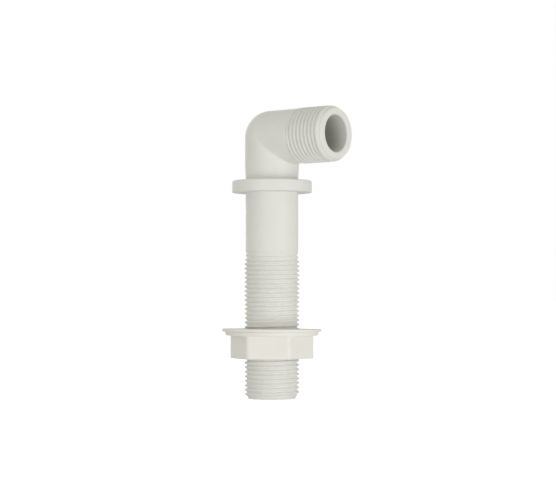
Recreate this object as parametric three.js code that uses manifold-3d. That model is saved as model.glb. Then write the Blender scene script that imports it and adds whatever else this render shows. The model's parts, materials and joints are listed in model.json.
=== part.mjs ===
// Thru-hull elbow fitting with its washer and back nut. Millimetres, +Z up.
//
// Origin: on the stem's axis, in the plane of the collar's underside, the face that seats on the hull.
// The threaded stem runs down -Z through the hull, and the hose leg points along +X.
// Both threads are G 3/8 parallel pipe thread, right-handed.

import * as THREE from 'three';
import { mergeVertices } from 'three/addons/utils/BufferGeometryUtils.js';
import Module from 'manifold-3d';

const wasm = await Module();
wasm.setup();

// ---- driving dimensions -------------------------------------------------

const FACETS = 24; // flats round each turned surface, and steps in each turn of thread
const EPS = 1; // how far a cutting tool stands out past the face that it cuts
const SINK = 0.2; // how far a joined shape starts inside its neighbour

// G 3/8: 19 threads per inch, 55 degree flanks
const PITCH = 25.4 / 19;
const MAJOR_R = 16.662 / 2;
const MINOR_R = 14.95 / 2;
const FLANK_SLOPE = Math.tan(THREE.MathUtils.degToRad(27.5));

// stem, from its open lower end to the collar
const STEM_R = 7.85;
const STEM_LENGTH = 61.4;
const STEM_THREAD_TOP = 17.2; // below the collar's underside
const STEM_THREAD_RUNOUT = 2; // length over which the thread fades in
const STEM_THREAD_PHASE = 0.5; // in turns
const STEM_TIP_R = 7;
const STEM_TIP_LENGTH = 0.7; // plain end below the thread's chamfer
const STEM_SHOULDER_R = 7.25;
const STEM_CHAMFER_RISE = 0.8; // axial rise for each 1 of radius
const NECK_R = 7.8; // stem just above the collar

const COLLAR_R = 11.9;
const COLLAR_THICK = 3.5;
const COLLAR_EDGE = 0.5;

// elbow and side leg, lengths measured from the stem's axis
const ELBOW_Z = 16.3;
const LEG_R = 8.05;
const LEG_LENGTH = 24.2;
const LEG_THREAD_START = 10.9;
const LEG_THREAD_RUNOUT = 1.2;
const LEG_THREAD_PHASE = 0.15;
const LIP_R = 8.1;
const LIP_LENGTH = 2.1;
const LIP_EDGE = 1.5; // radius of the lip's rounded outer edge
const LIP_NECK = 0.4; // gap between the last turn of thread and the lip

const BORE_R = 5.4;
const BORE_CHAMFER = 0.35;

// back nut: a hexagon under a thin round flange
const NUT_TOP_Z = -41.4;
const NUT_FLANGE_R = 14;
const NUT_FLANGE_LOW_R = 13.75;
const NUT_FLANGE_THICK = 1.15;
const NUT_HEX_AF = 22; // across flats
const NUT_HEX_HEIGHT = 6.85;
const NUT_CORNER = 1.5; // radius of the hexagon's upright edges
const NUT_CORNER_ANGLE = 33; // degrees from +X to the nearest corner
const NUT_EDGE = 0.25;
const NUT_CLEARANCE = 0.2; // radial, between the nut's thread and the stem's
const NUT_MOUTH_CHAMFER = 0.5;

const WASHER_R = 14.8;
const WASHER_HOLE_R = 8.7;
const WASHER_THICK = 0.7;

// ---- helpers ------------------------------------------------------------

// A closed geometry as a manifold solid
function solid(geometry) {
  const bare = geometry.clone();
  bare.deleteAttribute('normal');
  bare.deleteAttribute('uv');
  const merged = mergeVertices(bare, 1e-5);
  return new wasm.Manifold(new wasm.Mesh({
    numProp: 3,
    vertProperties: Float32Array.from(merged.attributes.position.array),
    triVerts: Uint32Array.from(merged.index.array),
  }));
}

function namedMesh(name, body, material) {
  const out = body.getMesh();
  const geometry = new THREE.BufferGeometry();
  geometry.setAttribute('position', new THREE.BufferAttribute(Float32Array.from(out.vertProperties), 3));
  geometry.setIndex(new THREE.BufferAttribute(Uint32Array.from(out.triVerts), 1));
  geometry.computeVertexNormals();
  const mesh = new THREE.Mesh(geometry, material);
  mesh.name = name;
  return mesh;
}

// A solid turned about Z from [radius, z] points that start and end on the axis
function turned(points) {
  const outline = points.map(([radius, z]) => new THREE.Vector2(radius, z));
  const geometry = new THREE.LatheGeometry(outline, FACETS);
  geometry.rotateX(Math.PI / 2);
  return geometry;
}

// Quarter-round corner points, from one angle to another about a centre
function arc(centreR, centreZ, radius, fromDeg, toDeg, steps = 3) {
  return Array.from({ length: steps + 1 }, (_, i) => {
    const angle = THREE.MathUtils.degToRad(THREE.MathUtils.lerp(fromDeg, toDeg, i / steps));
    return [centreR + radius * Math.cos(angle), centreZ + radius * Math.sin(angle)];
  });
}

// Turns a solid made about Z into one about the leg's axis
function alongLeg(geometry) {
  return geometry.clone().rotateY(Math.PI / 2).translate(0, 0, ELBOW_Z);
}

// A rod with a right-hand thread about Z, longer than asked at both ends, where it is cut to length.
// Its surface is a strip of profile points, root and crest in turn, that climbs one pitch in each turn.
function threadedRod(fromZ, toZ, phase, clearance = 0) {
  const minorR = MINOR_R + clearance;
  const majorR = MAJOR_R + clearance;
  const flank = FLANK_SLOPE * (majorR - minorR);
  const crest = PITCH / 2 - flank;
  const firstCrest = (Math.floor(fromZ / PITCH) - 2 + phase) * PITCH;
  const pitches = Math.ceil((toZ - firstCrest) / PITCH) + 2;
  const outline = [
    [minorR, -crest / 2 - flank],
    [majorR, -crest / 2],
    [majorR, crest / 2],
    [minorR, crest / 2 + flank],
  ];
  const rows = outline.length * pitches;
  const column = rows + outline.length;

  const positions = [];
  for (let i = 0; i < FACETS; i += 1) {
    const angle = 2 * Math.PI * i / FACETS;
    for (let row = 0; row < column; row += 1) {
      const [radius, offset] = outline[row % outline.length];
      const z = firstCrest + PITCH * (Math.floor(row / outline.length) + i / FACETS) + offset;
      positions.push(radius * Math.cos(angle), radius * Math.sin(angle), z);
    }
  }
  // the last column is the first one, a pitch further up
  const at = (i, row) => (i === FACETS ? row + outline.length : i * column + row);

  const faces = [];
  const quad = (a, b, c, d) => faces.push(a, b, c, a, c, d);
  for (let i = 0; i < FACETS; i += 1) {
    for (let row = 0; row < rows - 1; row += 1) {
      quad(at(i, row), at(i + 1, row), at(i + 1, row + 1), at(i, row + 1));
    }
  }

  // each end is a flat disc, a band up to the first row, and the ridge's own cut end
  const endR = minorR - 1;
  const ends = [
    [firstCrest - PITCH, 0, 1],
    [firstCrest + PITCH * (pitches + 1), rows - 1, -1],
  ];
  for (const [z, row, side] of ends) {
    const centre = positions.length / 3;
    positions.push(0, 0, z);
    for (let i = 0; i < FACETS; i += 1) {
      const angle = 2 * Math.PI * i / FACETS;
      positions.push(endR * Math.cos(angle), endR * Math.sin(angle), z);
    }
    const rim = (i) => centre + 1 + (i % FACETS);
    const triangle = (a, b, c) => faces.push(...(side > 0 ? [a, b, c] : [a, c, b]));
    for (let i = 0; i < FACETS; i += 1) {
      triangle(centre, rim(i + 1), rim(i));
      triangle(rim(i), rim(i + 1), at(i + 1, row));
      triangle(rim(i), at(i + 1, row), at(i, row));
    }
    for (let k = 0; k < outline.length; k += 1) {
      triangle(at(0, row + k), at(0, row + k + 1), rim(0));
    }
  }

  const geometry = new THREE.BufferGeometry();
  geometry.setAttribute('position', new THREE.Float32BufferAttribute(positions, 3));
  geometry.setIndex(faces);
  return geometry;
}

// ---- elbow body: stem, collar, elbow and leg in one moulding -------------

function elbowBody(material) {
  const tipZ = -STEM_LENGTH;
  const shoulderZ = tipZ + STEM_TIP_LENGTH;
  const threadTopZ = -STEM_THREAD_TOP;
  const clearR = MAJOR_R + EPS;

  // smooth stem with the collar, drawn in slightly at the neck and domed over the elbow
  const stem = turned([
    [0, threadTopZ - STEM_THREAD_RUNOUT],
    [MINOR_R - SINK, threadTopZ - STEM_THREAD_RUNOUT],
    [STEM_R, threadTopZ],
    [STEM_R, 0],
    ...arc(COLLAR_R - COLLAR_EDGE, COLLAR_EDGE, COLLAR_EDGE, -90, 0),
    ...arc(COLLAR_R - COLLAR_EDGE, COLLAR_THICK - COLLAR_EDGE, COLLAR_EDGE, 0, 90),
    [NECK_R, COLLAR_THICK],
    ...arc(0, ELBOW_Z, LEG_R, 0, 90, FACETS / 4),
  ]);
  const stemThread = solid(threadedRod(tipZ, threadTopZ, STEM_THREAD_PHASE)).intersect(solid(turned([
    [0, tipZ],
    [STEM_TIP_R, tipZ],
    [STEM_SHOULDER_R, shoulderZ],
    [clearR, shoulderZ + STEM_CHAMFER_RISE * (clearR - STEM_SHOULDER_R)],
    [clearR, threadTopZ - STEM_THREAD_RUNOUT],
    [STEM_R - SINK, threadTopZ + SINK],
    [0, threadTopZ + SINK],
  ])));

  // side leg: smooth root that starts just inside the dome, and a plain lip past the thread
  const lipStart = LEG_LENGTH - LIP_LENGTH;
  const threadEnd = lipStart - LIP_NECK;
  const legRoot = turned([
    [0, 0],
    [LEG_R - SINK, 0],
    [LEG_R, SINK],
    [LEG_R, LEG_THREAD_START],
    [MINOR_R - SINK, LEG_THREAD_START + LEG_THREAD_RUNOUT],
    [0, LEG_THREAD_START + LEG_THREAD_RUNOUT],
  ]);
  const lip = turned([
    [0, threadEnd],
    [MINOR_R - SINK, threadEnd],
    [LIP_R, lipStart],
    ...arc(LIP_R - LIP_EDGE, LEG_LENGTH - LIP_EDGE, LIP_EDGE, 0, 90),
    [0, LEG_LENGTH],
  ]);
  const legRod = threadedRod(LEG_THREAD_START, threadEnd, LEG_THREAD_PHASE);
  const legThread = solid(alongLeg(legRod)).intersect(solid(alongLeg(turned([
    [0, LEG_THREAD_START - SINK],
    [LEG_R - SINK, LEG_THREAD_START - SINK],
    [clearR, LEG_THREAD_START + LEG_THREAD_RUNOUT],
    [clearR, threadEnd - LIP_NECK],
    [MINOR_R - SINK, lipStart],
    [0, lipStart],
  ]))));

  const outside = solid(stem)
    .add(stemThread)
    .add(solid(alongLeg(legRoot)))
    .add(legThread)
    .add(solid(alongLeg(lip)));

  const mouthR = BORE_R + BORE_CHAMFER + EPS;
  const stemBore = turned([
    [0, tipZ - EPS],
    [mouthR, tipZ - EPS],
    [BORE_R, tipZ + BORE_CHAMFER],
    ...arc(0, ELBOW_Z, BORE_R, 0, 90, FACETS / 4),
  ]);
  const legBore = turned([
    [0, 0],
    [BORE_R - SINK, 0],
    [BORE_R, SINK],
    [BORE_R, LEG_LENGTH - BORE_CHAMFER],
    [mouthR, LEG_LENGTH + EPS],
    [0, LEG_LENGTH + EPS],
  ]);
  const waterWay = solid(stemBore).add(solid(alongLeg(legBore)));
  return namedMesh('elbow_body', outside.subtract(waterWay), material);
}

// ---- back nut -----------------------------------------------------------

// A hexagon whose corners are rounded, one corner on +X
function hexagon() {
  const shape = new THREE.Shape();
  const centreR = (NUT_HEX_AF / 2 - NUT_CORNER) / Math.cos(Math.PI / 6);
  for (let corner = 0; corner < 6; corner += 1) {
    const angle = corner * Math.PI / 3;
    const half = Math.PI / 6;
    shape.absarc(
      centreR * Math.cos(angle),
      centreR * Math.sin(angle),
      NUT_CORNER,
      angle - half,
      angle + half,
      false,
    );
  }
  return shape;
}

function backNut(material) {
  const bottomZ = NUT_TOP_Z - NUT_FLANGE_THICK - NUT_HEX_HEIGHT;
  const hex = new THREE.ExtrudeGeometry(hexagon(), {
    depth: NUT_HEX_HEIGHT,
    curveSegments: 3,
    bevelThickness: NUT_EDGE,
    bevelSize: NUT_EDGE,
    bevelOffset: -NUT_EDGE,
    bevelSegments: 1,
  });
  hex.rotateZ(THREE.MathUtils.degToRad(NUT_CORNER_ANGLE)).translate(0, 0, bottomZ + NUT_EDGE);
  const flange = turned([
    [0, NUT_TOP_Z - NUT_FLANGE_THICK],
    [NUT_FLANGE_LOW_R, NUT_TOP_Z - NUT_FLANGE_THICK],
    [NUT_FLANGE_R, NUT_TOP_Z],
    [0, NUT_TOP_Z],
  ]);
  const coreR = MINOR_R + NUT_CLEARANCE;
  const mouthR = MAJOR_R + NUT_CLEARANCE + NUT_MOUTH_CHAMFER / 2;
  const core = turned([
    [0, bottomZ - EPS],
    [mouthR, bottomZ - EPS],
    [mouthR, bottomZ],
    [coreR, bottomZ + mouthR - coreR],
    [coreR, NUT_TOP_Z - mouthR + coreR],
    [mouthR, NUT_TOP_Z],
    [mouthR, NUT_TOP_Z + EPS],
    [0, NUT_TOP_Z + EPS],
  ]);
  const hole = solid(core).add(solid(threadedRod(bottomZ, NUT_TOP_Z, STEM_THREAD_PHASE, NUT_CLEARANCE)));
  return namedMesh('back_nut', solid(hex).add(solid(flange)).subtract(hole), material);
}

// ---- washer between the nut and the hull --------------------------------

function sealingWasher(material) {
  const top = NUT_TOP_Z + WASHER_THICK;
  const disc = turned([[0, NUT_TOP_Z], [WASHER_R, NUT_TOP_Z], [WASHER_R, top], [0, top]]);
  const hole = turned([
    [0, NUT_TOP_Z - EPS],
    [WASHER_HOLE_R, NUT_TOP_Z - EPS],
    [WASHER_HOLE_R, top + EPS],
    [0, top + EPS],
  ]);
  return namedMesh('washer', solid(disc).subtract(solid(hole)), material);
}

// ---- assembly -----------------------------------------------------------

const whitePlastic = new THREE.MeshStandardMaterial({ color: '#d9dad6', roughness: 0.45, metalness: 0 });
const ivoryPlastic = new THREE.MeshStandardMaterial({ color: '#e4e0d4', roughness: 0.5, metalness: 0 });
const washerPlastic = new THREE.MeshStandardMaterial({ color: '#dcd9cf', roughness: 0.6, metalness: 0 });

const fitting = new THREE.Group();
fitting.add(elbowBody(whitePlastic));
fitting.add(sealingWasher(washerPlastic));
fitting.add(backNut(ivoryPlastic));

export default fitting;
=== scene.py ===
"""Looks for a thru-hull elbow fitting: fine moulded meshes, plastics, a pale floor, lights and a camera.

Lengths are in millimetres until a mesh is made, and in metres after that, in the frame of the CAD model.
The body is one skin of rings: up the outside from the stem's end to the leg's end, and back down the bore.
"""

import json
import math

import bmesh
import bpy
import numpy as np
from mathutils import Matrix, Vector


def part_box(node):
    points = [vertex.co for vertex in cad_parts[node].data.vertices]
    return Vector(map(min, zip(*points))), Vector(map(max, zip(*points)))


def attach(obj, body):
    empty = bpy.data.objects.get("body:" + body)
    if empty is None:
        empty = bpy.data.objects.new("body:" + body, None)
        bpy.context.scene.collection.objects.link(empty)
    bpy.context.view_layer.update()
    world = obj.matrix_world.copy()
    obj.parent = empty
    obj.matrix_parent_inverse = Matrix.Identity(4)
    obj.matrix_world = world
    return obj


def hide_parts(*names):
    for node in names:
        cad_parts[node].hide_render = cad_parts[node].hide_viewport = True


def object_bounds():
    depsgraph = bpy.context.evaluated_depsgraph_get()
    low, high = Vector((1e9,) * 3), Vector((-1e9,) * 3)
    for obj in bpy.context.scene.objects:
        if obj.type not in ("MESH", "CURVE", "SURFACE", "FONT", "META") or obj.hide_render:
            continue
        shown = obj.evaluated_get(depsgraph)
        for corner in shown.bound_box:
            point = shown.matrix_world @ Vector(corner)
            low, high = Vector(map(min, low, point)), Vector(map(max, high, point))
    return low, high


MM = 0.001
TURN = 2 * math.pi
TWELFTH = TURN / 12

# ---- driving dimensions, in millimetres ----------------------------------

# G 3/8 thread: 19 to the inch, 55 degree flanks, round crests and roots
PITCH = 25.4 / 19
MAJOR_R = 16.662 / 2
FLANK = math.radians(27.5)
THREAD_DEPTH = 0.640327 * PITCH
THREAD_ROUND = 0.137329 * PITCH
CREST_ROUND = 0.22 * PITCH  # the moulded crests are rounder and lower than the standard's
STEM_PHASE = 0.5  # in turns
LEG_PHASE = 0.15
ARC_ROWS = 4  # rows of faces over each crest and each root

STEM_R = 7.85
THREAD_TOP = 17.2  # below the collar's underside
THREAD_LEAD = 0.6  # length above it that the thread's mesh takes in
STEM_CREST_FADE = 1.2, 4.5  # lengths below it between which the crests grow to full height
STEM_ROOT_FADE = -0.35, 1.1  # and the grooves to full depth
NECK_R = 7.8
LEG_R = 8.05
COLLAR_R = 11.9
COLLAR_THICK = 3.5
COLLAR_EDGE = 0.45
COLLAR_SEAT_EDGE = 0.22
BORE_R = 5.4
BORE_EDGE = 0.4
BORE_SHADE_DEPTH = 7.0  # depth over which the bore's wall darkens to painted shade
TIP_R = 7.0
TIP_LENGTH = 0.7
SHOULDER_R = 7.25
CHAMFER_RISE = 0.8  # axial rise of the thread's lead-in for each 1 of radius
LEG_THREAD_START = 10.9
LEG_CREST_FADE = 0, 1.3  # lengths past it between which the crests grow to full height
LEG_ROOT_FADE = -0.1, 1.1  # and the grooves to full depth
LIP_LENGTH = 2.1
LIP_R = 8.1
LIP_BEVEL = 1.5  # length of the bevel from the lip to its flat face
LIP_FACE_R = 7.3
LIP_GROOVE = 0.35  # between the thread's end and the lip
GROOVE_RISE = 0.6  # axial rise of the groove's wall for each 1 of radius
LIP_LINE_DEPTH = 0.2  # a fine line half-way down the bevel
CREASE_ROUND = 0.35  # radius in the inside corner of the elbow
BORE_CREASE_ROUND = 0.3

HEX_AF = 22.0
HEX_CORNER = 1.5
HEX_ANGLE = math.radians(33)  # from +X to one of the corners
FLANGE_LOW_R = 13.75
FLANGE_THICK = 1.15
FLANGE_BLEND_R = 13.0  # the hexagon's rings are round again out there
NUT_CLEARANCE = 0.2
NUT_MOUTH = 0.25  # chamfer at each end of the nut's thread
WASHER_HOLE_R = 8.7
WASHER_LIFT = 0.05  # how far the washer's thick side stands off the nut
WASHER_RISE = 0.22  # how much thicker that side is
WASHER_THICK_SIDE = math.radians(250)  # from +X

ROUND_COLUMNS = 144  # columns round the body and round the washer
FLAT_COLUMNS = 20  # columns over each flat of the hexagon
CORNER_COLUMNS = 6
STRAIGHT_RINGS = 12  # on each side of the elbow's bend, with the bend's own end ring
BEND_RINGS = 25
BORE_RINGS = 16  # down the stem
SNAP = 0.02  # a thread's points this near to an end ring, or past it, join it
UNEVENNESS = 0.0005  # height of each wave in the moulding, as a share of its size
GRAIN_DEPTH = 0.05  # of the plastic's surface
FLOOR_CLEARANCE = 0.5  # below the nut at its lowest

# ---- materials and stage, in metres --------------------------------------

TONE_SCALE = 160  # noise cells to the metre
SCUFF_SCALE = 900
GRAIN_SCALE = 2600
GRAIN_STRENGTH = 0.05

FLOOR_HALF = 6.0
FLOOR_GLOW = 0.03  # light that the floor gives off
FLOOR_EXTRA = 0.7  # more of it, which only the camera sees
LIGHT_SIZE = 0.6
LIGHT_DISTANCE = 1.0  # from what it faces

CAMERA_AZIMUTH = math.radians(38.7)
CAMERA_DISTANCE = 0.5067
CAMERA_HEIGHT = -0.0305
CAMERA_ASIDE = 0.00182
CAMERA_LENS = 110.07  # millimetres
CAMERA_SHIFT = 0.081  # of the frame's width


# ---- outlines ------------------------------------------------------------

def rounded_outline(corners, longest=1.2, hold=0.06):
    """Points along a polyline of (radius, along, rounding) corners, with each corner turned as an arc.

    A point is held close to each end of an arc, so that smooth shading keeps the flats flat.
    """
    out = [np.array(corners[0][:2], float)]
    for before, (across, along, rounding), after in zip(corners, corners[1:], corners[2:]):
        corner = np.array((across, along), float)
        back = np.array(before[:2], float) - corner
        ahead = np.array(after[:2], float) - corner
        back /= np.linalg.norm(back)
        ahead /= np.linalg.norm(ahead)
        if rounding <= 0:
            out.append(corner)
            continue
        half = math.acos(np.clip(back @ ahead, -1, 1)) / 2
        reach = rounding / math.tan(half)
        centre = corner + (back + ahead) / np.linalg.norm(back + ahead) * rounding / math.sin(half)
        start, end = corner + back * reach, corner + ahead * reach
        out.append(start + back * min(hold, rounding / 2))
        steps = max(3, round((math.pi - 2 * half) / math.radians(16)))
        first, last = start - centre, end - centre
        sweep = math.atan2(first[0] * last[1] - first[1] * last[0], first @ last)
        for i in range(steps + 1):
            a = sweep * i / steps
            cos, sin = math.cos(a), math.sin(a)
            out.append(centre + (first[0] * cos - first[1] * sin, first[0] * sin + first[1] * cos))
        out.append(end + ahead * min(hold, rounding / 2))
    out.append(np.array(corners[-1][:2], float))

    fine = [out[0]]
    for a, b in zip(out, out[1:]):
        pieces = max(1, math.ceil(np.linalg.norm(b - a) / longest))
        fine += [a + (b - a) * (i + 1) / pieces for i in range(pieces)]
    return np.array(fine)


def thread_form():
    """One pitch of the thread from root to root, as (place along the axis, depth below the crest)."""
    reach = math.pi / 2 - FLANK
    drop = (CREST_ROUND - THREAD_ROUND) * (1 / math.sin(FLANK) - 1)
    crest = [
        (CREST_ROUND * math.sin(a), drop + CREST_ROUND * (1 - math.cos(a)))
        for a in np.linspace(-reach, reach, ARC_ROWS + 1)
    ]
    root = [
        (PITCH / 2 + THREAD_ROUND * math.sin(a), THREAD_DEPTH - THREAD_ROUND * (1 - math.cos(a)))
        for a in np.linspace(-reach, reach, ARC_ROWS + 1)
    ]
    return np.array(crest + root)


def smooth(x, low, high):
    """Rises from 0 at low to 1 at high, and is level at both."""
    t = np.clip((x - low) / (high - low), 0, 1)
    return t * t * (3 - 2 * t)


def soft_min(a, b, width):
    """The lower of a and b, with the corner where they cross rounded by about the width."""
    return (a + b - np.sqrt((a - b) ** 2 + width ** 2)) / 2


# ---- skins ---------------------------------------------------------------

class Skin:
    """Grids of points that become one closed mesh once the rings that they share are merged."""

    def __init__(self, angles):
        self.angles = angles
        self.points = []
        self.faces = []
        self.count = 0

    def grid(self, points, shift=0):
        """Adds rows of points, one row to a ring.

        With a shift, the last column meets the first one that many rows on.
        """
        rows, columns = points.shape[:2]
        row = np.arange(rows - 1)[:, None]
        column = np.arange(columns)[None, :]
        wraps = column == columns - 1
        right = np.where(wraps, 0, column + 1)
        near = np.minimum(row + np.where(wraps, shift, 0), rows - 1)
        far = np.minimum(row + 1 + np.where(wraps, shift, 0), rows - 1)
        quads = np.stack([
            row * columns + column,
            near * columns + right,
            far * columns + right,
            (row + 1) * columns + column,
        ], axis=-1)
        self.faces.append(quads.reshape(-1, 4) + self.count)
        self.points.append(points.reshape(-1, 3))
        self.count += rows * columns

    def turned(self, outline, place):
        """Rings of one outline, put in the row frame by place(radius, along, angles)."""
        self.grid(np.array([place(radius, along, self.angles) for radius, along in outline]))

    def thread(self, low, high, phase, radius, place):
        """A right-hand thread whose rows follow its helix, between the rings at low and high.

        A ring is (radius, along). radius(depth, along) is the radius at a point of the thread form.
        """
        (low_r, low), (high_r, high) = low, high
        form = thread_form()
        first = math.floor(low / PITCH) - 2 + phase
        turns = math.ceil((high - low) / PITCH) + 4
        climb = PITCH * self.angles / TURN
        rows = []
        for turn in range(turns):
            for offset, depth in form:
                along = (first + turn) * PITCH + offset + climb
                along = np.where(along < low + SNAP, low, np.where(along > high - SNAP, high, along))
                r = np.where(along <= low, low_r, np.where(along >= high, high_r, radius(depth, along)))
                rows.append(place(r, along, self.angles))
        self.grid(np.array(rows), len(form))

    def mesh(self, name, shape=None):
        """The merged mesh, in metres, with smooth faces that point out. shape moves the points first."""
        points = np.concatenate(self.points)
        if shape is not None:
            points = shape(points)
        data = bpy.data.meshes.new(name)
        data.from_pydata((points * MM).tolist(), [], np.concatenate(self.faces).tolist())
        bm = bmesh.new()
        bm.from_mesh(data)
        bmesh.ops.remove_doubles(bm, verts=bm.verts, dist=0.002 * MM)
        bmesh.ops.dissolve_degenerate(bm, edges=bm.edges, dist=0.001 * MM)
        bmesh.ops.recalc_face_normals(bm, faces=bm.faces)
        for face in bm.faces:
            face.smooth = True
        bm.to_mesh(data)
        bm.free()
        piece = bpy.data.objects.new(name, data)
        bpy.context.scene.collection.objects.link(piece)
        return piece


def on_stem(radius, along, angles):
    """Points round the stem's axis, which is Z."""
    along = np.broadcast_to(along, angles.shape)
    return np.stack([radius * np.cos(angles), radius * np.sin(angles), along], axis=-1)


def on_leg(elbow_z):
    """Places points round the leg's axis, which is parallel to X. Angle 0 is its underside."""
    def place(radius, along, angles):
        along = np.broadcast_to(along, angles.shape)
        return np.stack([along, radius * np.sin(angles), elbow_z - radius * np.cos(angles)], axis=-1)
    return place


# ---- the moulded elbow ---------------------------------------------------

def elbow_rings(radius, corner_round, elbow_z, margin, angles):
    """Rings that carry a tube round the elbow, with a ball at the heel and a mitred corner inside."""
    side = radius * np.cos(angles)
    # each column runs up, turns a quarter about (turn_x, -turn_x) and runs out along the leg
    turn_r = (corner_round - side + np.sqrt((corner_round + side) ** 2 + 0.2 ** 2)) / 2
    turn_x = side + turn_r
    across = radius * np.sin(angles)
    reach = radius + margin
    rings = []
    for t in np.linspace(0, 1, STRAIGHT_RINGS)[:-1]:
        rings.append((side, elbow_z - reach + (reach - turn_x) * t))
    for a in np.linspace(0, math.pi / 2, BEND_RINGS):
        rings.append((turn_x - turn_r * np.cos(a), elbow_z - turn_x + turn_r * np.sin(a)))
    for t in np.linspace(0, 1, STRAIGHT_RINGS)[1:]:
        rings.append((turn_x + (reach - turn_x) * t, elbow_z - side))
    return np.array([np.stack([x, across, z], axis=-1) for x, z in rings])


def stem_thread_radius(tip_z):
    """The stem thread's radius: it fades in below the smooth stem and ends in a lead-in cone."""
    def radius(depth, z):
        below = -THREAD_TOP - z
        crest = STEM_R + (MAJOR_R - STEM_R) * smooth(below, *STEM_CREST_FADE)
        root = STEM_R - (STEM_R - MAJOR_R + THREAD_DEPTH) * smooth(below, *STEM_ROOT_FADE)
        thread = crest - (crest - root) * depth / THREAD_DEPTH
        cone = SHOULDER_R + (z - tip_z - TIP_LENGTH) / CHAMFER_RISE
        return np.where(z > -THREAD_TOP + THREAD_LEAD, STEM_R, soft_min(thread, cone, 0.08))
    return radius


def leg_thread_radius(lip_start):
    """The leg thread's radius: it fades in from the smooth leg and ends at the groove behind the lip."""
    def radius(depth, s):
        inside = s - LEG_THREAD_START
        crest = LEG_R + (MAJOR_R - LEG_R) * smooth(inside, *LEG_CREST_FADE)
        root = LEG_R - (LEG_R - MAJOR_R + THREAD_DEPTH) * smooth(inside, *LEG_ROOT_FADE)
        thread = crest - (crest - root) * depth / THREAD_DEPTH
        cut = MAJOR_R - THREAD_DEPTH + (lip_start - LIP_GROOVE - s) / GROOVE_RISE
        threaded = np.maximum(soft_min(thread, cut, 0.06), MAJOR_R - THREAD_DEPTH)
        return np.where(inside < LEG_ROOT_FADE[0], LEG_R, threaded)
    return radius


def moulded_elbow(box):
    """Stem, collar, elbow and leg in one moulding, with its water way through."""
    low, high = (np.array(corner) / MM for corner in box)
    tip_z, leg_length = low[2], high[0]
    elbow_z = high[2] - MAJOR_R
    place_leg = on_leg(elbow_z)
    margin = 0.6  # from the elbow's bend to the ends of its own rings
    root_r = MAJOR_R - THREAD_DEPTH
    lip_start = leg_length - LIP_LENGTH
    leg_smooth_end = LEG_THREAD_START - 0.4
    bore_start = tip_z + 3

    skin = Skin(np.arange(ROUND_COLUMNS) * TURN / ROUND_COLUMNS)
    thread_low = tip_z + TIP_LENGTH
    thread_high = -THREAD_TOP + THREAD_LEAD
    skin.turned(rounded_outline([
        (BORE_R, bore_start, 0),
        (BORE_R, tip_z + BORE_EDGE, 0.1),
        (BORE_R + BORE_EDGE, tip_z, 0.1),
        (TIP_R, tip_z, 0.15),
        (SHOULDER_R, thread_low, 0),
    ], longest=0.8), on_stem)
    ends = (SHOULDER_R, thread_low), (STEM_R, thread_high)
    skin.thread(*ends, STEM_PHASE, stem_thread_radius(tip_z), on_stem)
    skin.turned(rounded_outline([
        (STEM_R, thread_high, 0),
        (STEM_R, 0, 0.25),
        (COLLAR_R, 0, COLLAR_SEAT_EDGE),
        (COLLAR_R, COLLAR_THICK, COLLAR_EDGE),
        (NECK_R, COLLAR_THICK, 0.45),
        (LEG_R, elbow_z - LEG_R - margin, 0),
    ]), on_stem)
    skin.grid(elbow_rings(LEG_R, CREASE_ROUND, elbow_z, margin, skin.angles))
    skin.turned(rounded_outline([
        (LEG_R, LEG_R + margin, 0),
        (LEG_R, leg_smooth_end, 0),
    ]), place_leg)

    def bevel(share, depth=0):
        """A point that share of the way down the lip's bevel, as (radius, along)."""
        fall = np.array((LIP_FACE_R - LIP_R, LIP_BEVEL))
        inward = np.array((-LIP_BEVEL, LIP_FACE_R - LIP_R)) / np.linalg.norm(fall)
        return np.array((LIP_R, leg_length - LIP_BEVEL)) + fall * share + inward * depth

    thread_end = lip_start - LIP_GROOVE
    ends = (LEG_R, leg_smooth_end), (root_r, thread_end)
    skin.thread(*ends, LEG_PHASE, leg_thread_radius(lip_start), place_leg)
    skin.turned(rounded_outline([
        (root_r, thread_end, 0),
        (root_r, lip_start - 0.2, 0.12),
        (LIP_R, lip_start + 0.05, 0.15),
        (*bevel(0), 0.6),
        (*bevel(0.38), 0.04),
        (*bevel(0.48, LIP_LINE_DEPTH), 0.05),
        (*bevel(0.6), 0.06),
        (*bevel(1), 0.25),
        (BORE_R + BORE_EDGE, leg_length, 0.1),
        (BORE_R, leg_length - BORE_EDGE, 0.1),
        (BORE_R, BORE_R + margin, 0),
    ], longest=0.8), place_leg)
    skin.grid(elbow_rings(BORE_R, BORE_CREASE_ROUND, elbow_z, margin, skin.angles))
    heights = np.linspace(elbow_z - BORE_R - margin, bore_start, BORE_RINGS)
    skin.turned([(BORE_R, z) for z in heights], on_stem)

    def shrink(points):
        """Slight unevenness, as moulding leaves it."""
        x, y, z = points.T
        wave = np.sin(0.71 * x + 0.43 * z + 1.3) + np.sin(0.83 * y - 0.37 * z + 0.4)
        wave = wave + np.sin(0.29 * z + 0.9 * x)
        scale = (1 + UNEVENNESS * (wave - 3))[:, None]
        return points * scale * np.array((1, 1, 0)) + points * np.array((0, 0, 1))

    piece = skin.mesh("moulded_elbow", shrink)
    mark_painted_bore_shade(piece, tip_z, leg_length, elbow_z)
    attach(piece, "fitting")
    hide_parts("elbow_body")
    return piece


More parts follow.
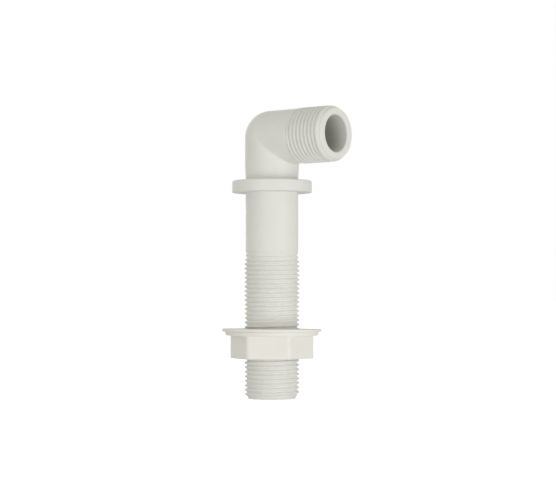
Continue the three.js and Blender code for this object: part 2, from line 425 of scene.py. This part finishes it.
def mark_painted_bore_shade(piece, tip_z, leg_length, elbow_z):
    """Stores how deep each point lies in the bore, from 0 at a mouth to 1, for the material to paint shade
    down the bore.
    """
    points = np.empty(len(piece.data.vertices) * 3)
    piece.data.vertices.foreach_get("co", points)
    x, y, z = points.reshape(-1, 3).T / MM
    bore = BORE_R + 0.6  # takes in the rims of the mouths
    in_stem = (np.hypot(x, y) < bore) & (z < elbow_z)
    in_leg = (np.hypot(y, z - elbow_z) < bore) & (x > 0)
    in_heel = np.sqrt(x ** 2 + y ** 2 + (z - elbow_z) ** 2) < bore
    depth = np.minimum(np.where(in_leg, leg_length - x, BORE_SHADE_DEPTH), np.where(in_stem, z - tip_z, BORE_SHADE_DEPTH))
    share = smooth(depth, 0, BORE_SHADE_DEPTH) * (in_stem | in_leg | in_heel)
    # the attribute named inside carries how much painted shade each point of the bore gets
    inside = piece.data.attributes.new("inside", "FLOAT", "POINT")
    inside.data.foreach_set("value", share.astype(np.float32))


# ---- the back nut --------------------------------------------------------

def hexagon_corner():
    """A round corner: its centre's distance from the axis, and half the angle that it spans."""
    centre = (HEX_AF / 2 - HEX_CORNER) / math.cos(TWELFTH)
    span = math.atan2(HEX_CORNER * math.sin(TWELFTH), centre + HEX_CORNER * math.cos(TWELFTH))
    return centre, span


def hexagon_radius(angles):
    """Radius of the hexagon with round corners, one of them at HEX_ANGLE."""
    centre, span = hexagon_corner()
    off = np.abs((angles - HEX_ANGLE + TWELFTH) % (2 * TWELFTH) - TWELFTH)
    arc = centre * np.cos(off) + np.sqrt(np.maximum(HEX_CORNER ** 2 - (centre * np.sin(off)) ** 2, 0))
    return np.where(off < span, arc, HEX_AF / 2 / np.cos(TWELFTH - off))


def hexagon_angles():
    """Column angles that crowd at the corners."""
    span = hexagon_corner()[1]
    sixth = TURN / 6
    beside = span * 1.25  # a column close to the corner, so that smooth shading keeps the flats flat
    corner = np.linspace(-span, span, CORNER_COLUMNS + 1)
    flat = np.linspace(span, sixth - span, FLAT_COLUMNS + 1)[1:-1]
    one = np.concatenate([corner, [beside], flat, [sixth - beside]])
    angles = np.concatenate([one + HEX_ANGLE + i * sixth for i in range(6)])
    return np.unique(np.round(angles % TURN, 9))


def hex_back_nut(box):
    """The hexagon, its thin round flange and the thread inside."""
    low, high = (np.array(corner) / MM for corner in box)
    bottom, top, flange_r = low[2], high[2], high[0]
    skin = Skin(hexagon_angles())
    hexagon = hexagon_radius(skin.angles)
    mouth_r = MAJOR_R + NUT_CLEARANCE + NUT_MOUTH
    hex_r = HEX_AF / 2
    under = top - FLANGE_THICK

    skin.turned(rounded_outline([
        (mouth_r, top, 0),
        (flange_r, top, 0.08),
        (FLANGE_LOW_R, under, 0.2),
        (FLANGE_BLEND_R, under, 0),
    ], longest=0.8), on_stem)

    # below the flange, a point's place is given as its share of the way out to the hexagon
    sides = rounded_outline([
        (FLANGE_BLEND_R, under, 0),
        (hex_r, under, 0.3),
        (hex_r, bottom, 0.35),
        (mouth_r, bottom, 0),
    ])
    rings = []
    for radius, z in sides:
        if radius > hex_r:
            share = (radius - hex_r) / (FLANGE_BLEND_R - hex_r)
            r = hexagon + (FLANGE_BLEND_R - hexagon) * share
        else:
            share = (radius - mouth_r) / (hex_r - mouth_r)
            r = mouth_r + (hexagon - mouth_r) * share
        rings.append(on_stem(r, z, skin.angles))
    skin.grid(np.array(rings))

    def radius(depth, z):
        thread = MAJOR_R + NUT_CLEARANCE - depth
        mouth = np.maximum(mouth_r - (z - bottom), mouth_r - (top - z))
        return np.maximum(thread, mouth)

    skin.thread((mouth_r, bottom), (mouth_r, top), STEM_PHASE, radius, on_stem)
    piece = skin.mesh("hex_back_nut")
    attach(piece, "nut")
    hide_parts("back_nut")
    return piece


# ---- the washer ----------------------------------------------------------

def thin_washer(box):
    """The loose round plate on the nut's flange."""
    low, high = (np.array(corner) / MM for corner in box)
    bottom, top, outer = low[2], high[2], high[0]
    skin = Skin(np.arange(ROUND_COLUMNS) * TURN / ROUND_COLUMNS)
    seam = 11, bottom, 0  # where the closed outline starts and ends
    skin.turned(rounded_outline([
        seam,
        (outer, bottom, 0.06),
        (outer, top, 0.15),
        (WASHER_HOLE_R, top, 0.1),
        (WASHER_HOLE_R, bottom, 0.1),
        seam,
    ]), on_stem)

    def thicken(points):
        """The washer is uneven: it stands a little off the nut on one side, and is thicker there."""
        towards = points[:, 0] * math.cos(WASHER_THICK_SIDE) + points[:, 1] * math.sin(WASHER_THICK_SIDE)
        share = (towards / outer + 1) / 2
        height = (points[:, 2] - bottom) / (top - bottom)
        return points + np.outer(share * (WASHER_LIFT + WASHER_RISE * height), (0, 0, 1))

    piece = skin.mesh("thin_washer", thicken)
    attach(piece, "washer")
    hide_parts("washer")
    return piece


# ---- materials -----------------------------------------------------------

def moulded_plastic(name, colour, shade, roughness, inside=None):
    """Satin moulded plastic with an uneven tone and a fine grain, darkened with painted shade down a bore."""
    material = bpy.data.materials.new(name)
    material.use_nodes = True
    nodes, links = material.node_tree.nodes, material.node_tree.links
    nodes.clear()
    out = nodes.new("ShaderNodeOutputMaterial")
    bsdf = nodes.new("ShaderNodeBsdfPrincipled")
    links.new(bsdf.outputs["BSDF"], out.inputs["Surface"])
    place = nodes.new("ShaderNodeTexCoord")

    def noise(scale, detail, rough=0.5):
        node = nodes.new("ShaderNodeTexNoise")
        node.inputs["Scale"].default_value = scale
        node.inputs["Detail"].default_value = detail
        node.inputs["Roughness"].default_value = rough
        links.new(place.outputs["Object"], node.inputs["Vector"])
        return node.outputs["Fac"]

    def spread(value, low, high, to_low, to_high):
        node = nodes.new("ShaderNodeMapRange")
        sockets = "From Min", "From Max", "To Min", "To Max"
        for socket, number in zip(sockets, (low, high, to_low, to_high)):
            node.inputs[socket].default_value = number
        links.new(value, node.inputs["Value"])
        return node.outputs["Result"]

    tone = nodes.new("ShaderNodeMix")
    tone.data_type = "RGBA"
    tone.inputs["A"].default_value = (*colour, 1)
    tone.inputs["B"].default_value = (*shade, 1)
    links.new(spread(noise(TONE_SCALE, 3), 0.35, 0.7, 0, 1), tone.inputs["Factor"])
    surface = tone.outputs["Result"]
    # painted shade: down the bore the colour is mixed towards the darker inside colour, standing in for the
    # shade deep in the hollow
    if inside is not None:
        depth = nodes.new("ShaderNodeAttribute")
        depth.attribute_name = "inside"
        bore_shade = nodes.new("ShaderNodeMix")
        bore_shade.data_type = "RGBA"
        bore_shade.inputs["B"].default_value = (*inside, 1)
        links.new(depth.outputs["Fac"], bore_shade.inputs["Factor"])
        links.new(surface, bore_shade.inputs["A"])
        surface = bore_shade.outputs["Result"]
    links.new(surface, bsdf.inputs["Base Color"])
    scuffs = spread(noise(SCUFF_SCALE, 4, 0.65), 0.3, 0.75, roughness - 0.06, roughness + 0.1)
    links.new(scuffs, bsdf.inputs["Roughness"])
    bump = nodes.new("ShaderNodeBump")
    bump.inputs["Strength"].default_value = GRAIN_STRENGTH
    bump.inputs["Distance"].default_value = GRAIN_DEPTH * MM
    links.new(noise(GRAIN_SCALE, 5, 0.6), bump.inputs["Height"])
    links.new(bump.outputs["Normal"], bsdf.inputs["Normal"])
    return material


# ---- stage ---------------------------------------------------------------

def plain_floor(z):
    """A pale floor, over-exposed as white studio floors are, so that its edge can't be seen."""
    data = bpy.data.meshes.new("floor")
    corners = [(x * FLOOR_HALF, y * FLOOR_HALF, z) for x, y in ((-1, -1), (1, -1), (1, 1), (-1, 1))]
    data.from_pydata(corners, [], [(0, 1, 2, 3)])
    floor = bpy.data.objects.new("floor", data)
    bpy.context.scene.collection.objects.link(floor)
    material = bpy.data.materials.new("pale_floor")
    material.use_nodes = True
    nodes, links = material.node_tree.nodes, material.node_tree.links
    bsdf = nodes["Principled BSDF"]
    bsdf.inputs["Base Color"].default_value = (0.75, 0.75, 0.74, 1)
    bsdf.inputs["Roughness"].default_value = 0.9
    bsdf.inputs["Specular IOR Level"].default_value = 0.1
    bsdf.inputs["Emission Color"].default_value = (1, 1, 1, 1)
    path = nodes.new("ShaderNodeLightPath")
    glow = nodes.new("ShaderNodeMath")
    glow.operation = "MULTIPLY_ADD"
    glow.inputs[1].default_value = FLOOR_EXTRA
    glow.inputs[2].default_value = FLOOR_GLOW
    links.new(path.outputs["Is Camera Ray"], glow.inputs[0])
    links.new(glow.outputs["Value"], bsdf.inputs["Emission Strength"])
    data.materials.append(material)
    floor.visible_shadow = False  # so the low lights shine past it


def soft_light(name, azimuth, rise, power, target):
    """A square soft light that faces the target. Its angles are in degrees, measured as the camera's are."""
    data = bpy.data.lights.new(name, "AREA")
    data.shape = "SQUARE"
    data.size = LIGHT_SIZE
    data.energy = power
    data.color = (0.985, 0.99, 1)
    light = bpy.data.objects.new(name, data)
    light.visible_camera = False
    bpy.context.scene.collection.objects.link(light)
    a, up = math.radians(azimuth), math.radians(rise)
    flat = math.cos(up)
    light.location = target + LIGHT_DISTANCE * Vector((math.sin(a) * flat, -math.cos(a) * flat, math.sin(up)))
    light.rotation_euler = (target - light.location).to_track_quat("-Z", "Y").to_euler()


def white_surroundings(strength):
    """White to the camera, and a dimmer, slightly warm light to everything else."""
    world = bpy.data.worlds.new("surroundings")
    bpy.context.scene.world = world
    world.use_nodes = True
    nodes, links = world.node_tree.nodes, world.node_tree.links
    nodes.clear()
    out = nodes.new("ShaderNodeOutputWorld")
    seen = nodes.new("ShaderNodeBackground")
    cast = nodes.new("ShaderNodeBackground")
    mix = nodes.new("ShaderNodeMixShader")
    path = nodes.new("ShaderNodeLightPath")
    seen.inputs["Color"].default_value = (1, 1, 1, 1)
    cast.inputs["Color"].default_value = (1, 0.99, 0.92, 1)
    cast.inputs["Strength"].default_value = strength
    links.new(path.outputs["Is Camera Ray"], mix.inputs["Fac"])
    links.new(cast.outputs["Background"], mix.inputs[1])
    links.new(seen.outputs["Background"], mix.inputs[2])
    links.new(mix.outputs["Shader"], out.inputs["Surface"])


def set_camera():
    """Level, with its azimuth from the front towards the leg's side, and the frame shifted up."""
    data = bpy.data.cameras.new("camera")
    data.lens = CAMERA_LENS
    data.sensor_width = 36
    data.shift_y = CAMERA_SHIFT
    data.clip_start = 0.01
    data.clip_end = 50
    camera = bpy.data.objects.new("camera", data)
    bpy.context.scene.collection.objects.link(camera)
    bpy.context.scene.camera = camera
    towards = Vector((math.sin(CAMERA_AZIMUTH), -math.cos(CAMERA_AZIMUTH), 0))
    right = Vector((math.cos(CAMERA_AZIMUTH), math.sin(CAMERA_AZIMUTH), 0))
    camera.location = towards * CAMERA_DISTANCE + right * CAMERA_ASIDE + Vector((0, 0, CAMERA_HEIGHT))
    camera.rotation_euler = (math.pi / 2, 0, CAMERA_AZIMUTH)


# ---- scene ---------------------------------------------------------------

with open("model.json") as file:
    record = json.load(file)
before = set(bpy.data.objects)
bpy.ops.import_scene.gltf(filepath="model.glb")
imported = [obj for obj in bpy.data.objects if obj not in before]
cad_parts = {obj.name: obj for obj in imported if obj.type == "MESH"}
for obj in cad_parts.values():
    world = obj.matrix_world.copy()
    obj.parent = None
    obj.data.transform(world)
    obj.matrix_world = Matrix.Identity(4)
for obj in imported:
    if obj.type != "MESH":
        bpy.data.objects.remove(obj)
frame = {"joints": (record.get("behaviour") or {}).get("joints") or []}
cad_box = [list(corner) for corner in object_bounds()]

set_camera()
scene = bpy.context.scene
scene.view_settings.view_transform = "Standard"

elbow = moulded_elbow(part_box("elbow_body"))
nut = hex_back_nut(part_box("back_nut"))
washer = thin_washer(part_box("washer"))
# the last colour is painted shade for the bore's hollow
white = moulded_plastic("white_plastic", (0.82, 0.82, 0.80), (0.80, 0.80, 0.77), 0.42, (0.56, 0.56, 0.51))
elbow.data.materials.append(white)
ivory = moulded_plastic("ivory_plastic", (0.885, 0.87, 0.83), (0.865, 0.85, 0.80), 0.5)
nut.data.materials.append(ivory)
pale = moulded_plastic("washer_plastic", (0.87, 0.85, 0.81), (0.85, 0.83, 0.78), 0.55)
washer.data.materials.append(pale)

middle = Vector((0, 0, -0.015))  # of the part, where the lights face
nut_travel = next(joint for joint in frame["joints"] if joint["name"] == "nut_travel")
lowest_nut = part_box("back_nut")[0][2] + nut_travel["range_m"][0]
plain_floor(min(cad_box[0][2], lowest_nut) - FLOOR_CLEARANCE * MM)
white_surroundings(0.61)
soft_light("key", 80, -15, 3.6, middle)
soft_light("fill", 18, -12, 1.95, middle)
soft_light("back", 236, 12, 1.3, middle)
